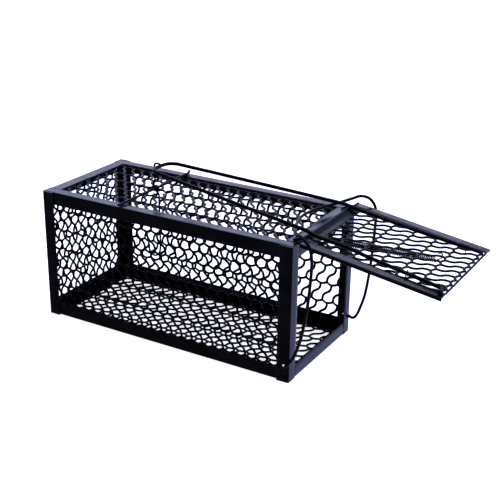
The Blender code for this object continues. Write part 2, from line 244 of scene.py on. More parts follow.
def addTube(bm, points, radius, sides=14):
    # a round wire along the points, its cut ends slightly rounded
    first = (points[1] - points[0]).normalized()
    last = (points[-1] - points[-2]).normalized()
    path = [points[0], points[0] + first * radius * 0.22, points[0] + first * radius * 0.55, *points[1:-1],
            points[-1] - last * radius * 0.55, points[-1] - last * radius * 0.22, points[-1]]
    radii = [radius * 0.62, radius * 0.92, radius] + [radius] * (len(points) - 2)
    radii += [radius, radius * 0.92, radius * 0.62]
    tangents = []
    for i in range(len(path)):
        tangents.append((path[min(i + 1, len(path) - 1)] - path[max(i - 1, 0)]).normalized())
    side = tangents[0].orthogonal().normalized()
    rings = []
    for spot, tangent, size in zip(path, tangents, radii):
        side = (side - tangent * side.dot(tangent)).normalized()
        other = tangent.cross(side)
        ring = []
        for k in range(sides):
            angle = 2 * math.pi * k / sides
            ring.append(bm.verts.new(spot + (side * math.cos(angle) + other * math.sin(angle)) * size))
        rings.append(ring)
    for ringA, ringB in zip(rings, rings[1:]):
        for k in range(sides):
            bm.faces.new((ringA[k], ringA[(k + 1) % sides], ringB[(k + 1) % sides], ringB[k]))
    bm.faces.new(rings[0][::-1])
    bm.faces.new(rings[-1])


def wirePiece(name, points, diameter, body, material=None, replaced=None, sides=14):
    bm = bmesh.new()
    addTube(bm, points, diameter / 2, sides)
    node = replaced or name.replace("shaped_", "")
    return place(name, meshFrom(bm, name), material or wirePaint, body, node)


def sheetSection(path, gauge):
    # the closed outline of a bent sheet, from its middle line, and how near each point is to an edge
    blunt = gauge * 0.38  # how far the rounding of a cut edge reaches
    tangents = []
    for i in range(len(path)):
        tangents.append((path[min(i + 1, len(path) - 1)] - path[max(i - 1, 0)]).normalized())
    left, right = [], []
    for spot, tangent in zip(path, tangents):
        normal = Vector((-tangent.y, tangent.x)) * gauge / 2
        left.append((spot + normal, 0.0))
        right.append((spot - normal, 0.0))

    def cutEdge(spot, outward, normal):
        made = []
        for k in range(1, 6):
            angle = math.pi * k / 6
            rim = spot + outward * blunt * math.sin(angle) + normal * math.cos(angle) * gauge / 2
            made.append((rim, 1.0))
        return made

    endNormal = Vector((-tangents[-1].y, tangents[-1].x))
    startNormal = Vector((tangents[0].y, -tangents[0].x))
    return (left + cutEdge(path[-1], tangents[-1], endNormal) + right[::-1]
            + cutEdge(path[0], -tangents[0], startNormal))


def anglePath(legA, legB, gauge, bend):
    # the middle line of an angle strip: down leg A, round the bend, up leg B
    half = gauge / 2
    radius = bend - half
    blunt = gauge * 0.38
    path = []
    count = max(2, round(legA / (3.5 * mm)))
    for k in range(count + 1):
        path.append(Vector((legA - blunt + (bend + 0.35 * mm - legA + blunt) * k / count, half)))
    for k in range(7):
        angle = math.radians(270 - 15 * k)
        path.append(Vector((bend + radius * math.cos(angle), bend + radius * math.sin(angle))))
    count = max(2, round(legB / (3.5 * mm)))
    for k in range(count + 1):
        start = bend + 0.35 * mm
        path.append(Vector((half, start + (legB - blunt - start) * k / count)))
    return path


def foldedStrip(name, path, gauge, length, matrix, look, seed, reach):
    # sweeps a bent sheet's outline along local Z. Its thin legs are never quite true
    section = sheetSection(path, gauge)
    rings = max(2, round(length / look["ringStep"]))
    stops = [0.0, 0.25 * mm] + [length * k / rings for k in range(1, rings)] + [length - 0.25 * mm, length]
    bm = bmesh.new()
    wearLayer = bm.verts.layers.float.new("edgeWear")
    loops = []
    for index, along in enumerate(stops):
        loop = []
        ending = index in (0, len(stops) - 1)
        for spot, wear in section:
            a, b = spot
            lean = Vector((0.0, 0.0))
            farA, farB = max(a, 0.0) / reach, max(b, 0.0) / reach
            wave = noise.noise(Vector((along * look["waveRate"], seed * 7.3, farA * 0.8)))
            lean.y = look["wave"] * wave * farA**1.5 if farA > farB else 0.0
            wave = noise.noise(Vector((along * look["waveRate"], seed * 7.3 + 40, farB * 0.8)))
            lean.x = look["wave"] * wave * farB**1.5 if farB >= farA else 0.0
            vert = bm.verts.new(matrix @ Vector((a + lean.x, b + lean.y, along - length / 2)))
            vert[wearLayer] = 1.0 if ending else wear
            loop.append(vert)
        loops.append(loop)
    count = len(section)
    for ringA, ringB in zip(loops, loops[1:]):
        for k in range(count):
            bm.faces.new((ringA[k], ringA[(k + 1) % count], ringB[(k + 1) % count], ringB[k]))
    bm.faces.new(loops[0][::-1])
    bm.faces.new(loops[-1])
    return meshFrom(bm, name, 50.0)


# the cage's folded strips and posts

stripSizes = {"gauge": 1.0 * mm, "bend": 1.3 * mm, "ringStep": 5.0 * mm, "wave": 0.30 * mm, "waveRate": 26.0,
              "bowHole": 1.65 * mm}


def angleFromNode(node, across, other, along, seed, hole=None):
    # across and other point down the two legs from the outer corner line, along runs down the strip
    low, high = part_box(node)
    middle = (low + high) / 2
    size = high - low
    corner = middle - Vector([size[i] / 2 * (across[i] + other[i]) for i in range(3)])
    legA = sum(size[i] * abs(across[i]) for i in range(3))
    legB = sum(size[i] * abs(other[i]) for i in range(3))
    length = sum(size[i] * abs(along[i]) for i in range(3))
    turn = Matrix((across, other, along)).transposed().to_4x4()
    path = anglePath(legA, legB, stripSizes["gauge"], stripSizes["bend"])
    mesh = foldedStrip(node, path, stripSizes["gauge"], length, Matrix.Translation(corner) @ turn,
                       stripSizes, seed, max(legA, legB))
    if hole:
        mesh = drilled(mesh, hole)
    return place("folded_" + node, mesh, stripPaint, "cage", node)


def drilled(mesh, spot):
    # a round hole along Y
    bm = bmesh.new()
    radius = stripSizes["bowHole"]
    bmesh.ops.create_cone(bm, cap_ends=True, segments=24, radius1=radius, radius2=radius, depth=6 * mm)
    turn = Matrix.Translation(spot) @ Matrix.Rotation(math.pi / 2, 4, "X")
    bmesh.ops.transform(bm, matrix=turn, verts=bm.verts)
    drillMesh = bpy.data.meshes.new("drill")
    bm.to_mesh(drillMesh)
    bm.free()
    drill = bpy.data.objects.new("drill", drillMesh)
    strip = bpy.data.objects.new("stripBlank", mesh)
    for obj in (drill, strip):
        bpy.context.scene.collection.objects.link(obj)
    cut = strip.modifiers.new("hole", "BOOLEAN")
    cut.operation, cut.object = "DIFFERENCE", drill
    made = bpy.data.meshes.new_from_object(strip.evaluated_get(bpy.context.evaluated_depsgraph_get()))
    bpy.data.objects.remove(strip)
    bpy.data.objects.remove(drill)
    made.set_sharp_from_angle(angle=math.radians(50))
    return made


xAxis, yAxis, zAxis = Vector((1, 0, 0)), Vector((0, 1, 0)), Vector((0, 0, 1))
seed = 1
for side, sideName in ((-1, "front"), (1, "back")):
    for rise, levelName in ((1, "bottom"), (-1, "top")):
        angleFromNode(f"{levelName}_{sideName}_strip", -side * yAxis, rise * zAxis, xAxis, seed)
        seed += 1
    for inward, endName in ((1, "end"), (-1, "door")):
        hole = bowPlace + Vector((0, side * (halfWidth - 0.5 * mm), 0)) if endName == "door" else None
        angleFromNode(f"{sideName}_{endName}_post", -side * yAxis, inward * xAxis, zAxis, seed, hole)
        seed += 1
for inward, endName in ((1, "end"), (-1, "door")):
    for rise, levelName in ((1, "bottom"), (-1, "top")):
        angleFromNode(f"{levelName}_{endName}_strip", inward * xAxis, rise * zAxis, yAxis, seed)
        seed += 1
print("cage strips done")


# the wave mesh: S-shaped strands joined in rows, made once as a node tree

meshSizes = {
    "pitch": 10.5 * mm, "row": 18.2 * mm, "slant": 3.8 * mm,  # from one cell to the next, and row to row
    "top": (5.3 * mm, 2.8 * mm), "bottom": (-3.15 * mm, -13.2 * mm),  # a strand's two ends
    "topHandle": (5.35 * mm, -8.0 * mm), "bottomHandle": (-3.2 * mm, -2.5 * mm),
    "wire": 0.72 * mm, "joint": 1.25 * mm, "jointReach": 1.5 * mm, "flat": 0.7,
    "uneven": 0.35 * mm, "sides": 6, "strandSteps": 9, "wallSteps": 3,
}


def waveMeshTree(sizes):
    tree = bpy.data.node_groups.new("waveMesh", "GeometryNodeTree")
    inputs = {}
    named = (("Columns", "Int"), ("Rows", "Int"), ("Width", "Float"), ("Height", "Float"), ("Wire", "Float"),
             ("Joint", "Float"), ("Shift", "Vector"), ("Slot Centre", "Vector"), ("Slot Size", "Vector"),
             ("Paint", "Material"))
    for label, kind in named:
        socket = tree.interface.new_socket(label, in_out="INPUT", socket_type="NodeSocket" + kind)
        inputs[label] = socket.identifier
    tree.interface.new_socket("Geometry", in_out="OUTPUT", socket_type="NodeSocketGeometry")
    maker = Maker(tree)
    given = maker.add("NodeGroupInput").outputs

    top, bottom = Vector((*sizes["top"], 0)), Vector((*sizes["bottom"], 0))
    nextTop = top - Vector((sizes["slant"], sizes["row"], 0))
    strand = maker.add("GeometryNodeCurvePrimitiveBezierSegment", None, {
        "Resolution": sizes["strandSteps"], "Start": top, "End": bottom,
        "Start Handle": (*sizes["topHandle"], 0), "End Handle": (*sizes["bottomHandle"], 0)})
    walls = []
    for joint in (nextTop, nextTop - Vector((sizes["pitch"], 0, 0))):
        sag = Vector((0, -0.45 * mm, 0))
        walls.append(maker.add("GeometryNodeCurvePrimitiveBezierSegment", None, {
            "Resolution": sizes["wallSteps"], "Start": bottom, "End": joint,
            "Start Handle": bottom.lerp(joint, 0.33) + sag, "End Handle": bottom.lerp(joint, 0.66) + sag}))
    cell = maker.add("GeometryNodeJoinGeometry", None,
                     {"Geometry": [strand.outputs[0], walls[0].outputs[0], walls[1].outputs[0]]})

    # thick at both ends of each strand, thin along it
    along = maker.value("GeometryNodeSplineParameter", "Length")
    whole = maker.value("GeometryNodeSplineLength", "Length")
    nearest = maker.maths("MINIMUM", along, whole - along)
    swell = maker.maths("EXPONENT", (nearest / sizes["jointReach"]) ** 2.0 * -1.0)
    wire, joint = Value(maker, given["Wire"]), Value(maker, given["Joint"])
    thickness = wire + (joint - wire) * swell
    stored = maker.add("GeometryNodeStoreNamedAttribute", {"data_type": "FLOAT", "domain": "POINT"},
                       {"Geometry": cell.outputs[0], "Name": "thickness", "Value": thickness})

    # one cell on each point of a slanted grid
    columns, rows = Value(maker, given["Columns"]), Value(maker, given["Rows"])
    grid = maker.add("GeometryNodeMeshGrid", None, {
        "Vertices X": columns.socket, "Vertices Y": rows.socket,
        "Size X": (columns - 1.0) * sizes["pitch"], "Size Y": (rows - 1.0) * sizes["row"]})
    parts = maker.add("ShaderNodeSeparateXYZ", None, {0: maker.add("GeometryNodeInputPosition").outputs[0]})
    gridX, gridY = Value(maker, parts.outputs[0]), Value(maker, parts.outputs[1])
    leaning = gridX + gridY * (sizes["slant"] / sizes["row"])
    slanted = maker.add("ShaderNodeCombineXYZ", None, {0: leaning, 1: gridY})
    moved = maker.add("ShaderNodeVectorMath", {"operation": "ADD"},
                      {0: slanted.outputs[0], 1: given["Shift"]})
    spots = maker.add("GeometryNodeSetPosition", None,
                      {"Geometry": grid.outputs[0], "Position": moved.outputs[0]})
    cells = maker.add("GeometryNodeInstanceOnPoints", None,
                      {"Points": spots.outputs[0], "Instance": stored.outputs[0]})
    spread = maker.add("GeometryNodeRealizeInstances", None, {"Geometry": cells.outputs[0]})
    lines = maker.add("GeometryNodeCurveToMesh", None, {"Curve": spread.outputs[0]})

    # the sheet was never pulled quite even
    spot = maker.add("GeometryNodeInputPosition").outputs[0]
    drift = maker.add("ShaderNodeTexNoise", None, {"Vector": spot, "Scale": 38.0, "Detail": 1.0})
    centred = maker.add("ShaderNodeVectorMath", {"operation": "SUBTRACT"},
                        {0: drift.outputs["Color"], 1: (0.5, 0.5, 0.5)})
    drifts = (4 * sizes["uneven"], 4 * sizes["uneven"], 2 * sizes["uneven"])
    scaled = maker.add("ShaderNodeVectorMath", {"operation": "MULTIPLY"}, {0: centred.outputs[0], 1: drifts})
    uneven = maker.add("GeometryNodeSetPosition", None,
                       {"Geometry": lines.outputs[0], "Offset": scaled.outputs[0]})

    # cut to the panel, and round the slot for the trigger
    here = maker.add("ShaderNodeSeparateXYZ", None, {0: maker.add("GeometryNodeInputPosition").outputs[0]})
    overX = maker.maths("ABSOLUTE", Value(maker, here.outputs[0])) - Value(maker, given["Width"]) * 0.5
    overY = maker.maths("ABSOLUTE", Value(maker, here.outputs[1])) - Value(maker, given["Height"]) * 0.5
    outside = maker.maths("GREATER_THAN", maker.maths("MAXIMUM", overX, overY), 0.0)
    centre = maker.add("ShaderNodeSeparateXYZ", None, {0: given["Slot Centre"]})
    room = maker.add("ShaderNodeSeparateXYZ", None, {0: given["Slot Size"]})
    insideX = maker.maths("ABSOLUTE", Value(maker, here.outputs[0]) - Value(maker, centre.outputs[0]))
    insideY = maker.maths("ABSOLUTE", Value(maker, here.outputs[1]) - Value(maker, centre.outputs[1]))
    slot = (maker.maths("LESS_THAN", insideX, Value(maker, room.outputs[0]) * 0.5)
            * maker.maths("LESS_THAN", insideY, Value(maker, room.outputs[1]) * 0.5))
    trimmed = maker.add("GeometryNodeDeleteGeometry", {"domain": "POINT"}, {
        "Geometry": uneven.outputs[0], "Selection": maker.maths("MAXIMUM", outside, slot)})

    curves = maker.add("GeometryNodeMeshToCurve", None, {"Mesh": trimmed.outputs[0]})
    size = maker.add("GeometryNodeInputNamedAttribute", {"data_type": "FLOAT"}, {"Name": "thickness"})
    sized = maker.add("GeometryNodeSetCurveRadius", None,
                      {"Curve": curves.outputs[0], "Radius": size.outputs[0]})
    ring = maker.add("GeometryNodeCurvePrimitiveCircle", None, {"Resolution": sizes["sides"], "Radius": 1.0})
    tubeInputs = {"Curve": sized.outputs[0], "Profile Curve": ring.outputs[0], "Fill Caps": True}
    tubes = maker.add("GeometryNodeCurveToMesh", None, tubeInputs)
    if "Scale" in tubes.inputs:
        maker.tree.links.new(size.outputs[0], tubes.inputs["Scale"])
    flattened = maker.add("GeometryNodeTransform", None,
                          {"Geometry": tubes.outputs[0], "Scale": (1, 1, sizes["flat"])})
    rounded = maker.add("GeometryNodeSetShadeSmooth", None, {"Geometry": flattened.outputs[0]})
    whole = maker.add("GeometryNodeRealizeInstances", None, {"Geometry": rounded.outputs[0]})
    painted = maker.add("GeometryNodeSetMaterial", None,
                        {"Geometry": whole.outputs[0], "Material": given["Paint"]})
    maker.add("NodeGroupOutput", None, {0: painted.outputs[0]})
    return tree, inputs


def grownMesh(name, tree, inputs, settings):
    # runs a node tree once, and gives its result as a plain mesh
    holder = bpy.data.objects.new(name, bpy.data.meshes.new(name + "Holder"))
    bpy.context.scene.collection.objects.link(holder)
    growth = holder.modifiers.new("growth", "NODES")
    growth.node_group = tree
    for label, setting in settings.items():
        growth[inputs[label]] = setting
    bpy.context.view_layer.update()
    mesh = bpy.data.meshes.new_from_object(holder.evaluated_get(bpy.context.evaluated_depsgraph_get()))
    holder.modifiers.remove(growth)
    bpy.data.objects.remove(holder)
    mesh.name = name
    return mesh


waveTree, waveInputs = waveMeshTree(meshSizes)


def wavePanel(node, width, height, matrix, lobe, body, slot=((0, 0, 0), (0, 0, 0)), stretch=(1.0, 1.0)):
    # lobe is where one cell's upper end lies, from the panel's middle, in millimetres
    width, height = width / stretch[0], height / stretch[1]
    lobe = (lobe[0] / stretch[0], lobe[1] / stretch[1])
    pitch, row, slant = meshSizes["pitch"], meshSizes["row"], meshSizes["slant"]
    down = round(lobe[1] * mm / row)
    shiftY = lobe[1] * mm - down * row
    shiftX = lobe[0] * mm - down * slant
    shiftX -= round(shiftX / pitch) * pitch
    columns = math.ceil((width + height * slant / row) / pitch) + 5
    rows = math.ceil(height / row) + 4
    columns += 1 - columns % 2  # odd counts keep a cell at the middle
    rows += 1 - rows % 2
    mesh = grownMesh(node, waveTree, waveInputs, {
        "Columns": columns, "Rows": rows, "Width": width, "Height": height,
        "Wire": meshSizes["wire"], "Joint": meshSizes["joint"], "Shift": (shiftX, shiftY, 0.0),
        "Slot Centre": slot[0], "Slot Size": slot[1], "Paint": wirePaint})
    mesh.transform(matrix @ Matrix.Diagonal((*stretch, 1.0, 1.0)))
    if matrix.to_3x3().determinant() < 0:
        mesh.flip_normals()
    return place("wave_" + node, mesh, wirePaint, body, node)


def panelMatrix(node, right, up):
    low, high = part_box(node)
    normal = right.cross(up)
    return Matrix.Translation((low + high) / 2) @ Matrix((right, up, normal)).transposed().to_4x4()


def panelSize(node, right, up):
    low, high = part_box(node)
    return abs((high - low).dot(right)), abs((high - low).dot(up))


panelRoom = 1.5 * mm  # strands reach this far under the strips beyond the panel's own edge
panels = (  # node, right, up, where one lobe lies
    ("front_mesh", -xAxis, zAxis, (2.0, 3.0)),
    ("back_mesh", xAxis, zAxis, (95.5, -3.2)),
    ("end_mesh", yAxis, zAxis, (0.0, 3.0)),
    ("bottom_mesh", xAxis, yAxis, (3.0, 1.0)),
)
for node, right, up, lobe in panels:
    width, height = panelSize(node, right, up)
    wavePanel(node, width + panelRoom, height + panelRoom, panelMatrix(node, right, up), lobe, "cage")
width, height = panelSize("top_mesh", xAxis, yAxis)
slotX = triggerPlace.x + 1.0 * mm - sum(corner.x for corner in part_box("top_mesh")) / 2
triggerSlot = ((-slotX, 0.0, 0.0), (16 * mm, 10 * mm, 0.0))
wavePanel("top_mesh", width + panelRoom, height + panelRoom, panelMatrix("top_mesh", -xAxis, yAxis),
          (0.0, 2.0), "cage", triggerSlot)
print("cage mesh done")


# the door

doorSizes = {
    "droop": math.radians(8.4), "length": 118.5 * mm, "gauge": 1.0 * mm,
    "rail": 10 * mm, "lip": 3 * mm, "start": 1.55 * mm,
    "curl": 1.75 * mm, "curlGauge": 0.7 * mm,
    "freeFlange": 1.6 * mm, "freeLip": 1.8 * mm, "freeBend": 0.9 * mm, "hingeStripHalf": 41.6 * mm,
    "bend": 1.1 * mm, "ringStep": 4.5 * mm, "wave": 0.26 * mm, "waveRate": 30.0,
}
doorTurn = Matrix.Translation(hingePlace) @ Matrix.Rotation(doorSizes["droop"], 4, "Y")


def onDoor(x, y, z):
    # a place in millimetres from the hinge, along the door
    return doorTurn @ Vector((x * mm, y * mm, z * mm))


def doorStrips():
    sizes = doorSizes
    level = sizes["gauge"] / 2
    railLength = sizes["length"] - sizes["start"]
    for side, label, seed in ((-1, "front", 31), (1, "back", 32)):
        corner = Vector((sizes["start"] + railLength / 2, side * halfWidth, level))
        axes = Matrix((-side * yAxis, -zAxis, xAxis)).transposed().to_4x4()
        path = anglePath(sizes["rail"], sizes["lip"], sizes["gauge"], sizes["bend"])
        mesh = foldedStrip(f"door_{label}_rail", path, sizes["gauge"], railLength,
                           doorTurn @ Matrix.Translation(corner) @ axes, sizes, seed, sizes["rail"])
        place(f"folded_door_{label}_rail", mesh, stripPaint, "door", f"door_{label}_rail")
    between = 2 * (halfWidth - sizes["rail"] - 0.3 * mm)
    axes = Matrix((-xAxis, -zAxis, yAxis)).transposed().to_4x4()
    corner = Matrix.Translation((sizes["length"], 0, level))
    path = anglePath(sizes["freeFlange"], sizes["freeLip"], sizes["gauge"], sizes["freeBend"])
    mesh = foldedStrip("door_free_strip", path, sizes["gauge"], between, doorTurn @ corner @ axes, sizes, 33,
                       sizes["lip"])
    # the free strip takes the painted-shade copy of the strip paint, so it looks darker
    place("folded_door_free_strip", mesh, shadedPaint, "door", "door_free_strip")

    # the hinge strip's edge is rolled round the rod
    path = []
    for k in range(5):
        path.append(Vector((9.2 - 3.8 * k / 4, 0.1)) * mm)
    path += [Vector((4.2, 0.25)) * mm, Vector((3.2, 0.75)) * mm]
    for k in range(17):
        angle = math.radians(38 + 17.5 * k)
        path.append(Vector((math.cos(angle), math.sin(angle))) * sizes["curl"])
    axes = Matrix((xAxis, zAxis, -yAxis)).transposed().to_4x4()
    mesh = foldedStrip("door_hinge_strip", path, sizes["curlGauge"], 2 * sizes["hingeStripHalf"],
                       doorTurn @ axes, dict(sizes, wave=0.0), 34, 12 * mm)
    # the rolled hinge strip also takes the painted-shade copy of the strip paint, so it looks darker
    place("rolled_door_hinge_strip", mesh, shadedPaint, "door", "door_hinge_strip")


doorStrips()
doorMesh = {"width": 109.4 * mm, "length": 112.6 * mm, "middle": 60.9 * mm, "drop": 1.3 * mm,
            "lobe": (36.4, 73.75 - 60.9), "stretch": (0.965, 1.01)}
doorAxes = Matrix((yAxis, xAxis, -zAxis)).transposed().to_4x4()
doorMatrix = doorTurn @ Matrix.Translation((doorMesh["middle"], 0, -doorMesh["drop"])) @ doorAxes
wavePanel("door_mesh", doorMesh["width"], doorMesh["length"], doorMatrix, doorMesh["lobe"], "door",
          stretch=doorMesh["stretch"])
print("door done")


# the wires

wireSizes = {"lever": 3.2 * mm, "bow": 2.6 * mm, "trigger": 1.8 * mm, "pivot": 2.3 * mm,
             "clip": 0.9 * mm, "rod": 2.5 * mm, "spring": 1.0 * mm}
hingeX, hingeZ = (hingePlace.x - closedEnd) / mm, hingePlace.z / mm
topZ = cageHeight / mm
leverZ = topZ + 22.0
seatZ = 2.4  # the lever's middle above the door's middle plane

leverFront = [onDoor(*spot) for spot in (
    (114.8, -52.0, seatZ), (115.2, -48.5, seatZ), (113.8, -45.5, seatZ), (110.0, -43.9, seatZ),
    (56.0, -39.5, seatZ), (33.0, -36.5, seatZ), (8.5, -37.5, seatZ + 0.3))]
leverOver = [inCage(*spot) for spot in (
    (hingeX - 3.5, -38.5, hingeZ + 5.5), (238.0, -39.0, hingeZ + 7.3), (166.0, -27.5, topZ + 16.2),
    (100.0, -16.8, leverZ - 0.7), (92.5, -14.8, leverZ - 0.1), (87.0, -11.0, leverZ), (85.0, -5.0, leverZ),
    (85.0, 5.0, leverZ), (87.0, 11.0, leverZ), (92.5, 14.5, leverZ - 0.1), (100.0, 16.0, leverZ - 0.7),
    (166.0, 23.0, topZ + 16.2), (236.0, 30.5, hingeZ + 7.0), (hingeX - 3.5, 34.2, hingeZ + 4.8))]
leverBack = [onDoor(*spot) for spot in (
    (8.5, 36.6, seatZ + 0.3), (33.0, 36.7, seatZ), (60.0, 36.9, seatZ), (90.0, 37.8, seatZ),
    (115.5, 39.1, seatZ))]
leverPath = smoothPath(leverFront + leverOver + leverBack, 9)
wirePiece("shaped_arming_lever", leverPath, wireSizes["lever"], "door", sides=18)

rodEnd = halfWidth - 0.5 * mm
wirePiece("shaped_hinge_rod", [hingePlace + Vector((0, rodEnd * k / 6, 0)) for k in range(-6, 7)],
          wireSizes["rod"], "door")

clipPlaces = {"front_inner_lever_clip": (33.0, -36.5), "front_outer_lever_clip": (85.0, -41.8),
              "back_inner_lever_clip": (60.0, 36.9), "back_outer_lever_clip": (104.0, 38.4)}
for label, (x, y) in clipPlaces.items():
    arch = wireSizes["lever"] / 2 / mm + 0.55
    points = [(x, y - arch - 0.1, -0.9), (x, y - arch, seatZ - 1.2)]
    points += [(x, y - arch * math.cos(math.pi * k / 12), seatZ + arch * math.sin(math.pi * k / 12))
               for k in range(13)]
    points += [(x, y + arch, seatZ - 1.2), (x, y + arch + 0.1, -0.9)]
    wirePiece("shaped_" + label, [onDoor(*spot) for spot in points], wireSizes["clip"], "door", sides=10)

pivotZ = triggerPlace.z / mm
pivotX = (triggerPlace.x - closedEnd) / mm
points = [inCage(pivotX, y, pivotZ + rise) for y, rise in ((53.6, 2.4), (52.7, 1.0), (50.5, 0.0))]
points += [inCage(pivotX, y, pivotZ + rise) for y, rise in ((-50.5, 0.0), (-53.0, 0.1), (-55.2, 0.5))]
bent = smoothPath(points[:3], 6)
wirePiece("shaped_trigger_pivot_wire", bent + [bent[-1].lerp(inCage(pivotX, -50.5, pivotZ), k / 16)
          for k in range(1, 16)] + smoothPath(points[3:], 6), wireSizes["pivot"], "cage")

hookPath = [Vector(spot) * mm for spot in (
    (6.2, -1.5, 23.3), (3.0, -1.5, 23.7), (0.7, -1.5, 23.0), (-0.2, -1.5, 20.0), (0.2, -1.5, 10.0),
    (-2.2, -1.5, 3.0))]
loopPath = [Vector((2.2 * math.cos(a), -1.5 + 3.0 * k / 24, 2.2 * math.sin(a))) * mm
            for k in range(29) for a in [math.pi + 2 * math.pi * k / 24]]
baitPath = [Vector(spot) * mm for spot in (
    (1.5, 2.2, -7.0), (2.0, 1.8, -30.0), (3.0, 0.5, -56.0), (1.0, 0.0, -63.0), (-4.0, 0.0, -65.0),
    (-8.5, 0.0, -61.0), (-9.0, 0.0, -55.0))]
points = smoothPath(hookPath, 8)[:-1] + loopPath + smoothPath(baitPath, 8)
wirePiece("shaped_trigger_wire", [triggerPlace + spot for spot in points], wireSizes["trigger"], "trigger",
          sides=12)

bowFoot = [(245.5, 54.8, 14.5), (245.5, 57.6, 14.5)]
bowFront = [(246.5, 58.9, 15.2), (249.0, 58.9, 18.5), (252.5, 58.9, 24.0), (256.0, 58.9, 32.0),
            (259.7, 58.9, 44.5), (262.6, 58.9, 61.0), (265.0, 59.1, 79.0)]
bowBack = [(246.5, 58.9, 13.8), (249.0, 58.9, 12.2), (252.2, 58.9, 12.4), (255.0, 58.9, 16.0),
           (257.5, 58.9, 22.5), (261.6, 58.9, 37.0), (264.5, 58.9, 58.5), (266.0, 59.2, 80.0)]
bowTop = [(266.9, 59.7, 103.0), (266.8, 60.0, 114.0), (264.8, 59.7, 122.0), (259.8, 58.5, 127.2),
          (253.5, 55.3, 128.6), (248.0, 50.0, 126.8), (243.0, 42.0, 125.6), (237.0, 30.0, 124.6),
          (231.2, 15.0, 124.3)]
points = [inCage(x, -y, z) for x, y, z in bowFoot + bowFront + bowTop] + [inCage(229.0, 0.0, 124.3)]
points += [inCage(*spot) for spot in reversed(bowFoot + bowBack + bowTop)]
wirePiece("shaped_spring_bow", smoothPath(points, 6), wireSizes["bow"], "bow", springCoat, sides=16)
print("wires done")


# the closing spring: a close coil with a hook at each end

coilSizes = {"wire": 1.1 * mm, "radius": 2.6 * mm, "start": 5.2 * mm, "end": 91.0 * mm, "pitch": 1.40 * mm,
             "rise": math.radians(-1.4), "yaw": math.radians(8.6), "closedShare": 0.78}


def coilTree():
    tree = bpy.data.node_groups.new("closeCoil", "GeometryNodeTree")
    inputs = {}
    for label, kind in (("Turns", "Float"), ("Length", "Float"), ("Radius", "Float"), ("Wire", "Float"),
                        ("Coat", "Material")):
        socket = tree.interface.new_socket(label, in_out="INPUT", socket_type="NodeSocket" + kind)
        inputs[label] = socket.identifier
    tree.interface.new_socket("Geometry", in_out="OUTPUT", socket_type="NodeSocketGeometry")
    maker = Maker(tree)
    given = maker.add("NodeGroupInput").outputs
    spiral = maker.add("GeometryNodeCurveSpiral", None, {
        "Resolution": 14, "Rotations": given["Turns"], "Start Radius": given["Radius"],
        "End Radius": given["Radius"], "Height": given["Length"]})
    ring = maker.add("GeometryNodeCurvePrimitiveCircle", None,
                     {"Resolution": 7, "Radius": Value(maker, given["Wire"]) * 0.5})
    tube = maker.add("GeometryNodeCurveToMesh", None,
                     {"Curve": spiral.outputs[0], "Profile Curve": ring.outputs[0], "Fill Caps": True})
    rounded = maker.add("GeometryNodeSetShadeSmooth", None, {"Geometry": tube.outputs[0]})
    whole = maker.add("GeometryNodeRealizeInstances", None, {"Geometry": rounded.outputs[0]})
    coated = maker.add("GeometryNodeSetMaterial", None,
                       {"Geometry": whole.outputs[0], "Material": given["Coat"]})
    maker.add("NodeGroupOutput", None, {0: coated.outputs[0]})
    return tree, inputs


def closingSpring():
    sizes = coilSizes
    tree, inputs = coilTree()
    length = sizes["end"] - sizes["start"]
    turns = round(length / sizes["pitch"])
    settings = {"Turns": float(turns), "Length": length, "Radius": sizes["radius"], "Wire": sizes["wire"],
                "Coat": springCoat}
    coil = grownMesh("coil", tree, inputs, settings)
    coil.transform(Matrix.Translation((sizes["start"], 0, 0)) @ Matrix.Rotation(math.pi / 2, 4, "Y"))
    bm = bmesh.new()
    bm.from_mesh(coil)
    radius, wire = sizes["radius"], sizes["wire"]
    # the spiral starts and ends at its radius along local -Z
    near = [(sizes["start"], 0, -radius), (sizes["start"] - 0.9 * mm, 0.6 * mm, -radius * 0.9),
            (sizes["start"] - 1.7 * mm, 0.6 * mm, -radius * 0.45), (sizes["start"] - 2.3 * mm, 0, 0),
            (1.5 * mm, 0, 1.0 * mm), (0.0, 0, 1.15 * mm), (-1.0 * mm, 0, 0.3 * mm), (-0.9 * mm, 0, -0.8 * mm),
            (0.1 * mm, 0, -1.3 * mm), (1.2 * mm, 0, -0.9 * mm)]
    far = [(sizes["end"], 0, -radius), (sizes["end"] + 0.9 * mm, -0.6 * mm, -radius * 0.9),
           (sizes["end"] + 1.8 * mm, -0.6 * mm, -radius * 0.45), (sizes["end"] + 2.6 * mm, 0, 0),
           (95.2 * mm, 0, 0.6 * mm), (96.6 * mm, 0, 2.0 * mm), (97.0 * mm, 0, 3.8 * mm),
           (96.2 * mm, 0, 5.4 * mm), (94.6 * mm, 0, 5.6 * mm), (93.6 * mm, 0, 4.4 * mm)]
    for path in (near, far):
        addTube(bm, smoothPath([Vector(spot) for spot in path], 5), wire / 2, 9)
    turn = (Matrix.Translation(springPlace) @ Matrix.Rotation(sizes["yaw"], 4, "Z")
            @ Matrix.Rotation(-sizes["rise"], 4, "Y"))
    bmesh.ops.transform(bm, matrix=turn, verts=bm.verts)
    spring = place("coiled_closing_spring", meshFrom(bm, "closing_spring", 60.0), springCoat, "spring",
                   "closing_spring")
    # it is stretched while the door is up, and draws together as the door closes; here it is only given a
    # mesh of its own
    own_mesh(spring)


closingSpring()
anchorPath = [inCage(250.5, 3.0, topZ - 4.0), inCage(250.5, 3.0, topZ - 7.0), inCage(250.5, 3.0, topZ - 10.5),
              inCage(250.2, 3.0, springPlace.z / mm + 1.1)]
wirePiece("shaped_spring_anchor", smoothPath(anchorPath, 4), wireSizes["spring"], "cage", sides=10)
print("springs done")


# hinge ears

earSizes = {"gauge": 1.4 * mm, "head": 2.2 * mm, "hole": 1.4 * mm, "edge": 0.18 * mm, "across": 43.0 * mm,
            "tail": 10.5 * mm, "toe": 3.7 * mm, "tailRise": 1.2 * mm, "footGap": 0.3 * mm}


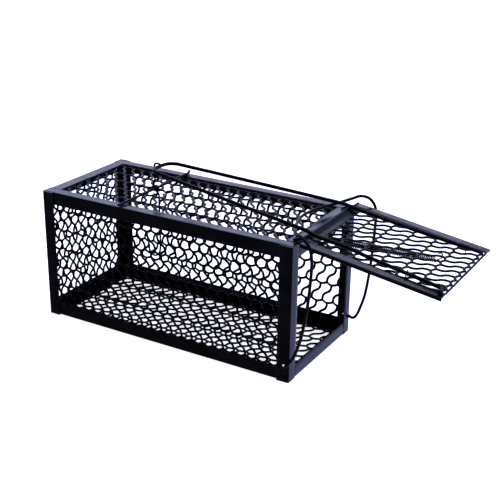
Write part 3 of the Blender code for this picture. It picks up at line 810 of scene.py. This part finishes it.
def hingeEar(label, side):
    sizes = earSizes
    foot = cageHeight + sizes["footGap"] - hingePlace.z
    corners = [(-sizes["tail"], -foot), (-sizes["toe"], -foot)]
    for step in range(25):
        angle = math.radians(130 - 265 * step / 24)
        corners.append((sizes["head"] * math.cos(angle), sizes["head"] * math.sin(angle)))
    corners.append((-sizes["tail"], -foot - sizes["tailRise"]))
    rim = [(sizes["hole"] * math.cos(2 * math.pi * k / 24), sizes["hole"] * math.sin(2 * math.pi * k / 24))
           for k in range(24)]
    curve = bpy.data.curves.new(label, "CURVE")
    curve.dimensions, curve.fill_mode = "2D", "BOTH"
    curve.extrude = sizes["gauge"] / 2 - sizes["edge"]
    curve.bevel_depth, curve.bevel_resolution, curve.offset = sizes["edge"], 2, -sizes["edge"]
    for loop in (corners, rim):
        spline = curve.splines.new("POLY")
        spline.points.add(len(loop) - 1)
        for point, (x, y) in zip(spline.points, loop):
            point.co = (x, y, 0, 1)
        spline.use_cyclic_u = True
    blank = bpy.data.objects.new(label, curve)
    bpy.context.scene.collection.objects.link(blank)
    bpy.context.view_layer.update()
    mesh = bpy.data.meshes.new_from_object(blank.evaluated_get(bpy.context.evaluated_depsgraph_get()))
    bpy.data.objects.remove(blank)
    bm = bmesh.new()
    bm.from_mesh(mesh)
    bmesh.ops.remove_doubles(bm, verts=bm.verts, dist=1e-6)
    spot = hingePlace + Vector((0, side * sizes["across"], 0))
    turn = Matrix.Translation(spot) @ Matrix.Rotation(-math.pi / 2, 4, "X")
    bmesh.ops.transform(bm, matrix=turn, verts=bm.verts)
    place("cut_" + label, meshFrom(bm, label, 35.0), stripPaint, "cage", label)


hingeEar("front_hinge_ear", -1)
hingeEar("back_hinge_ear", 1)
print("hinge ears done")


# floor, light and camera

stageLook = {
    "floor": (0.93, 0.935, 0.95, 1), "floorGlow": 0.86,
    "bright": (1.10, 1.27, 2.25, 1), "dim": (0.20, 0.20, 0.22, 1),  # the studio behind and before the trap
    "lights": (  # name, place, size, watts, colour
        ("backSoft", (-1.3, 2.3, 1.35), (2.2, 0.7), 14.0, (0.80, 0.88, 1.0)),
        ("topSoft", (0.3, -0.6, 2.6), (1.6, 1.6), 20.0, (1.0, 1.0, 1.0)),
    ),
}


def studio():
    bm = bmesh.new()
    bmesh.ops.create_grid(bm, x_segments=1, y_segments=1, size=40.0)
    floorMesh = bpy.data.meshes.new("floor")
    bm.to_mesh(floorMesh)
    bm.free()
    floor = bpy.data.objects.new("floor", floorMesh)
    bpy.context.scene.collection.objects.link(floor)
    material, maker, shader = newMaterial("pale_floor")
    shader.inputs["Base Color"].default_value = stageLook["floor"]
    shader.inputs["Roughness"].default_value = 0.9
    shader.inputs["Specular IOR Level"].default_value = 0.1
    shader.inputs["Emission Color"].default_value = stageLook["floor"]
    shader.inputs["Emission Strength"].default_value = stageLook["floorGlow"]
    floorMesh.materials.append(material)
    floor.visible_glossy = False  # the gloss shows the studio round the trap, not the floor

    world = bpy.data.worlds.new("studio")
    bpy.context.scene.world = world
    world.use_nodes = True
    maker = Maker(world.node_tree)
    around = maker.add("ShaderNodeTexCoord").outputs["Generated"]
    direction = maker.add("ShaderNodeSeparateXYZ", None, {0: around})
    towardsBack = maker.clamped(-0.35, 0.55, Value(maker, direction.outputs[1]))
    join(maker, maker.mixed(towardsBack, stageLook["dim"], stageLook["bright"]),
         world.node_tree.nodes["Background"].inputs["Color"])
    for name, spot, size, watts, colour in stageLook["lights"]:
        light = bpy.data.lights.new(name, "AREA")
        light.shape, light.size, light.size_y = "RECTANGLE", *size
        light.energy, light.color = watts, colour
        lamp = bpy.data.objects.new(name, light)
        bpy.context.scene.collection.objects.link(lamp)
        lamp.location = spot
        lamp.rotation_euler = (Vector((0, 0, 0.06)) - Vector(spot)).to_track_quat("-Z", "Y").to_euler()
        lamp.visible_camera = False


cameraView = {"place": (0.39566, -0.69307, 0.40704), "yaw": -30.0973, "pitch": 22.1025, "roll": 0.8878,
              "lens": 72.637}


def setCamera():
    yaw, pitch, roll = (math.radians(cameraView[key]) for key in ("yaw", "pitch", "roll"))
    forward = Vector((math.sin(yaw) * math.cos(pitch), math.cos(yaw) * math.cos(pitch), -math.sin(pitch)))
    level = forward.cross(zAxis).normalized()
    above = level.cross(forward)
    right = level * math.cos(roll) + above * math.sin(roll)
    up = above * math.cos(roll) - level * math.sin(roll)
    camera = bpy.data.cameras.new("camera")
    camera.lens, camera.sensor_width = cameraView["lens"], 36.0
    camera.clip_start, camera.clip_end = 0.01, 100.0
    obj = bpy.data.objects.new("camera", camera)
    bpy.context.scene.collection.objects.link(obj)
    turn = Matrix((right, up, -forward)).transposed().to_4x4()
    obj.matrix_world = Matrix.Translation(cameraView["place"]) @ turn
    bpy.context.scene.camera = obj


studio()
setCamera()
bpy.context.scene.view_settings.view_transform = "Standard"
print("stage done")
